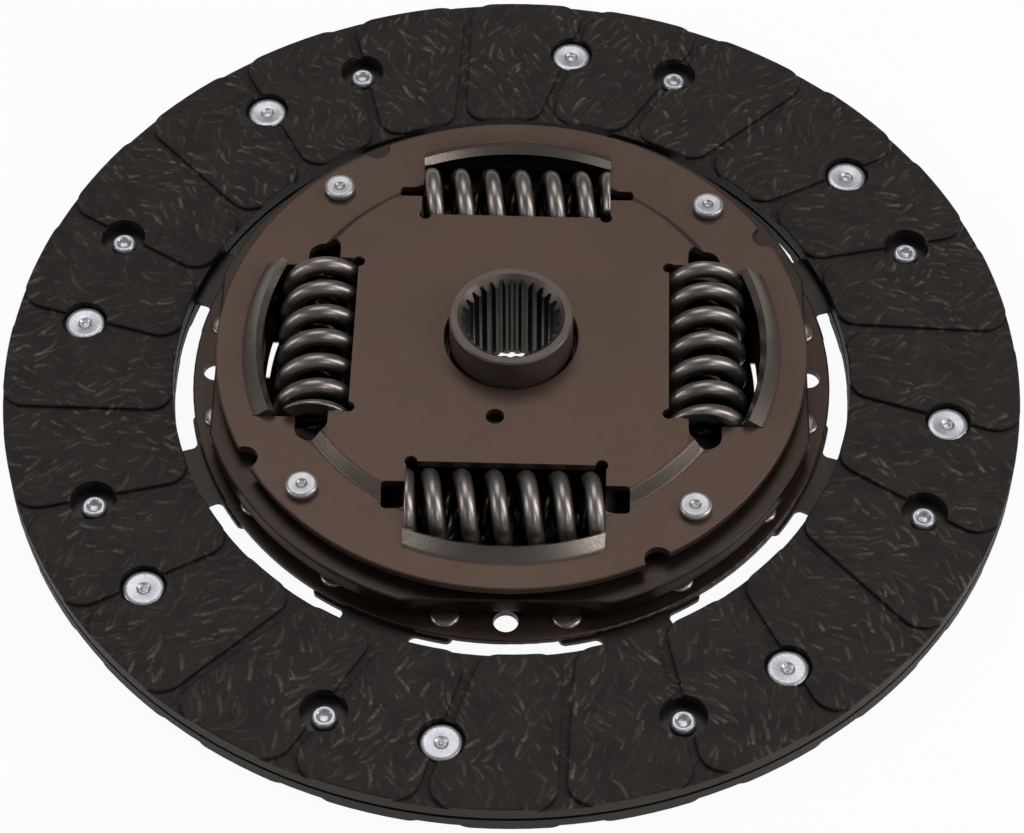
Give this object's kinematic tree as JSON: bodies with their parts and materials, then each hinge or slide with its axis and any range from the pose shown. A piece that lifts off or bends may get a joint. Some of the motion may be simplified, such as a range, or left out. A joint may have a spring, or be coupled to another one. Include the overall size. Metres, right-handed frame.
{
  "type": "clutch disc",
  "caption": "Dry friction clutch disc with grooved riveted facings, sprung torsion damper in windowed plates and a toothed hub.",
  "frame": {"origin": "centre of the lower facing's flat underside, on the disc's axis", "axes": "+Z along the hub axis, towards the side with the raised spring plate and the long end of the hub; the four spring windows lie on +X, -X, +Y and -Y"},
  "size_m": [0.228, 0.228, 0.0276],
  "materials": {
    "friction_lining": "matte, with light fibres",
    "zinc_rivet": "satin zinc",
    "dark_rivet": "satin, browned",
    "phosphated_steel": "brown phosphate, satin",
    "hub_steel": "dark satin",
    "spring_steel": "satin",
    "sheet_steel": "dark satin",
    "ring_plastic": "matte"
  },
  "bodies": {
    "disc": {"facing_upper": "friction_lining", "facing_lower": "friction_lining", "upper_facing_rivets": "zinc_rivet", "lower_facing_rivets": "zinc_rivet", "segment_rivets": "dark_rivet", "stop_pins": "zinc_rivet", "drive_plate": "phosphated_steel", "cover_plate": "phosphated_steel", "friction_bush": "ring_plastic", "friction_ring": "ring_plastic", "pressure_ring": "sheet_steel", "spring_ring": "sheet_steel", "cushion_segment_1": "sheet_steel", "cushion_segment_2": "sheet_steel", "cushion_segment_3": "sheet_steel", "cushion_segment_4": "sheet_steel", "cushion_segment_5": "sheet_steel", "cushion_segment_6": "sheet_steel", "cushion_segment_7": "sheet_steel", "cushion_segment_8": "sheet_steel"},
    "hub": {"hub": "hub_steel", "hub_flange": "phosphated_steel"},
    "springs": {"outer_spring_1": "spring_steel", "outer_spring_2": "spring_steel", "outer_spring_3": "spring_steel", "outer_spring_4": "spring_steel", "inner_spring_1": "spring_steel", "inner_spring_2": "spring_steel", "inner_spring_3": "spring_steel", "inner_spring_4": "spring_steel"}
  },
  "joints": [
    {"name": "hub_twist", "type": "hinge", "parent": "disc", "child": "hub", "pos_m": [0, 0, 0.011], "axis": [0, 0, 1], "range_deg": [-10.6, 5], "stiffness_Nm_per_rad": 300, "deforming": ["outer_spring_1", "outer_spring_2", "outer_spring_3", "outer_spring_4", "inner_spring_1", "inner_spring_2", "inner_spring_3", "inner_spring_4"]},
    {"name": "spring_follow", "type": "hinge", "parent": "disc", "child": "springs", "pos_m": [0, 0, 0.011], "axis": [0, 0, 1], "range_deg": [-5.3, 2.5]}
  ],
  "couplings": [
    {"joint": "spring_follow", "follows": "hub_twist", "ratio": 0.5}
  ]
}
